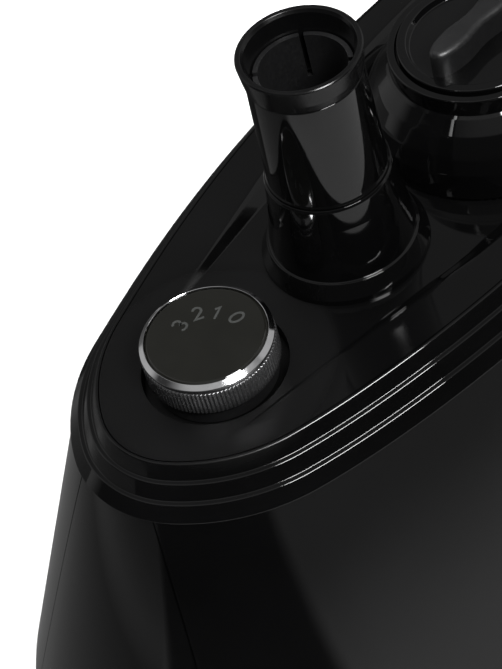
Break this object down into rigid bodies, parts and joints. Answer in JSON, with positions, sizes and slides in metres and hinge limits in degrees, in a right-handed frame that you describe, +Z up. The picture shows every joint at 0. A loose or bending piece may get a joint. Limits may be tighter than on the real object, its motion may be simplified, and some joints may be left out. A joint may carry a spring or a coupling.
{
  "type": "garment steamer base",
  "caption": "Glossy oval base unit of a garment steamer with a stepped deck rim, a knurled steam dial, an upright hose socket and a round water filler drum.",
  "frame": {"origin": "middle of the footprint on the floor, under the base", "axes": "+Z up; the nose with the dial points to -Y; +X is the side to the right of someone who looks along +Y"},
  "size_m": [0.238, 0.37, 0.236],
  "materials": {
    "gloss_black": "glossy moulded plastic",
    "satin_black": "satin moulded plastic",
    "dial_chrome": "polished, knurled side",
    "dial_glass": "dark back-printed glass",
    "nylon": "natural nylon",
    "steel": "brushed",
    "aluminium": "as cast",
    "rubber": "moulded",
    "tyre": "moulded",
    "silicone": "silicone",
    "tank_plastic": "translucent moulded plastic",
    "element": "oxidised sheath",
    "phenolic": "phenolic moulding"
  },
  "bodies": {
    "base": {"top_cover": "gloss_black", "nose_panel": "gloss_black", "tail_panel": "gloss_black", "left_shell": "gloss_black", "right_shell": "gloss_black", "base_plate": "satin_black", "rotary_switch": "phenolic", "switch_nut": "steel", "hose_socket": "gloss_black", "socket_sleeve": "gloss_black", "grip_sleeve": "satin_black", "steam_nozzle": "nylon", "nozzle_seal": "silicone", "socket_nut": "nylon", "filler_drum": "gloss_black", "tank_tub": "tank_plastic", "tank_top": "tank_plastic", "filler_neck": "tank_plastic", "tank_cradle": "satin_black", "boiler_body": "aluminium", "boiler_lid": "aluminium", "boiler_gasket": "silicone", "boiler_screws": "steel", "heater_element": "element", "thermostat": "phenolic", "thermal_fuse": "steel", "feed_valve": "nylon", "feed_tube": "silicone", "steam_pipe": "silicone", "drain_plug": "nylon", "base_screws": "steel", "terminal_block": "nylon", "cord_gland": "rubber", "axle": "steel", "axle_caps": "steel", "rubber_feet": "rubber"},
    "dial": {"dial_ring": "dial_chrome", "dial_glass": "dial_glass", "dial_hub": "satin_black", "dial_skirt": "satin_black", "switch_shaft": "steel"},
    "hose_collar": {"lock_collar": "satin_black"},
    "cap": {"filler_cap": "gloss_black", "cap_seal": "silicone"},
    "left_wheel": {"wheel_left": "satin_black", "tyre_left": "tyre"},
    "right_wheel": {"wheel_right": "satin_black", "tyre_right": "tyre"}
  },
  "joints": [
    {"name": "dial_turn", "type": "hinge", "parent": "base", "child": "dial", "pos_m": [0, -0.085, 0.158], "axis": [0, 0, -1], "range_deg": [0, 115.5]},
    {"name": "collar_twist", "type": "hinge", "parent": "base", "child": "hose_collar", "pos_m": [0, -0.0222, 0.23], "axis": [0, 0, 1], "range_deg": [0, 60]},
    {"name": "cap_turn", "type": "hinge", "parent": "base", "child": "cap", "pos_m": [0, 0.051, 0.18], "axis": [0, 0, 1], "range_deg": [0, 90]},
    {"name": "left_wheel_spin", "type": "hinge", "parent": "base", "child": "left_wheel", "pos_m": [-0.052, 0.118, 0.025], "axis": [1, 0, 0], "continuous": true},
    {"name": "right_wheel_spin", "type": "hinge", "parent": "base", "child": "right_wheel", "pos_m": [0.052, 0.118, 0.025], "axis": [1, 0, 0], "continuous": true}
  ]
}
